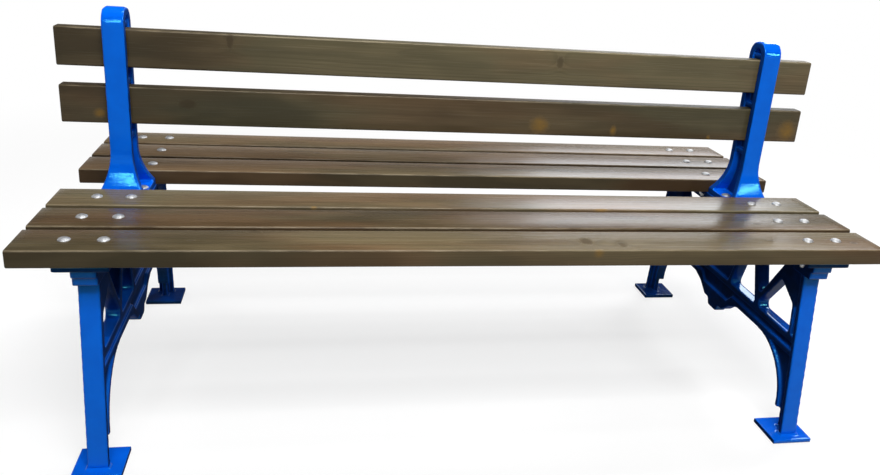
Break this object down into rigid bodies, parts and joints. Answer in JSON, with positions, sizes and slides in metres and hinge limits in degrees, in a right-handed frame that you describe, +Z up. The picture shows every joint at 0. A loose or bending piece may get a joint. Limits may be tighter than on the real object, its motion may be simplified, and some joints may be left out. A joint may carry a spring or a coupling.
{
  "type": "double-sided garden bench",
  "caption": "Free-standing garden bench with plank seats facing both ways, one shared upright plank back, and cast end frames with splayed legs and foot plates.",
  "frame": {"origin": "on the floor, under the middle of the bench", "axes": "+X along the boards, +Y from the front seat to the rear seat, +Z up"},
  "size_m": [1.6, 0.7838, 0.788],
  "materials": {
    "blue_enamel": "glossy bright blue enamel on cast iron",
    "stained_wood": "semi-gloss dark brown stain on planed softwood",
    "bright_zinc": "bright zinc plating"
  },
  "bodies": {
    "root": {"end_frame_left": "blue_enamel", "end_frame_right": "blue_enamel", "foot_plate_front_left": "blue_enamel", "foot_plate_front_right": "blue_enamel", "foot_plate_rear_left": "blue_enamel", "foot_plate_rear_right": "blue_enamel", "back_post_left": "blue_enamel", "back_post_right": "blue_enamel", "seat_board_front_inner": "stained_wood", "seat_board_front_middle": "stained_wood", "seat_board_front_outer": "stained_wood", "seat_board_rear_inner": "stained_wood", "seat_board_rear_middle": "stained_wood", "seat_board_rear_outer": "stained_wood", "back_board_lower": "stained_wood", "back_board_upper": "stained_wood", "seat_bolt_front_inner_left_1": "bright_zinc", "seat_bolt_front_inner_left_2": "bright_zinc", "seat_bolt_front_inner_right_1": "bright_zinc", "seat_bolt_front_inner_right_2": "bright_zinc", "seat_bolt_front_middle_left_1": "bright_zinc", "seat_bolt_front_middle_left_2": "bright_zinc", "seat_bolt_front_middle_right_1": "bright_zinc", "seat_bolt_front_middle_right_2": "bright_zinc", "seat_bolt_front_outer_left_1": "bright_zinc", "seat_bolt_front_outer_left_2": "bright_zinc", "seat_bolt_front_outer_right_1": "bright_zinc", "seat_bolt_front_outer_right_2": "bright_zinc", "seat_bolt_rear_inner_left_1": "bright_zinc", "seat_bolt_rear_inner_left_2": "bright_zinc", "seat_bolt_rear_inner_right_1": "bright_zinc", "seat_bolt_rear_inner_right_2": "bright_zinc", "seat_bolt_rear_middle_left_1": "bright_zinc", "seat_bolt_rear_middle_left_2": "bright_zinc", "seat_bolt_rear_middle_right_1": "bright_zinc", "seat_bolt_rear_middle_right_2": "bright_zinc", "seat_bolt_rear_outer_left_1": "bright_zinc", "seat_bolt_rear_outer_left_2": "bright_zinc", "seat_bolt_rear_outer_right_1": "bright_zinc", "seat_bolt_rear_outer_right_2": "bright_zinc", "post_bolt_left_1": "bright_zinc", "post_bolt_left_2": "bright_zinc", "post_bolt_right_1": "bright_zinc", "post_bolt_right_2": "bright_zinc", "back_screw_lower_left": "bright_zinc", "back_screw_lower_right": "bright_zinc", "back_screw_upper_left": "bright_zinc", "back_screw_upper_right": "bright_zinc"}
  },
  "joints": []
}
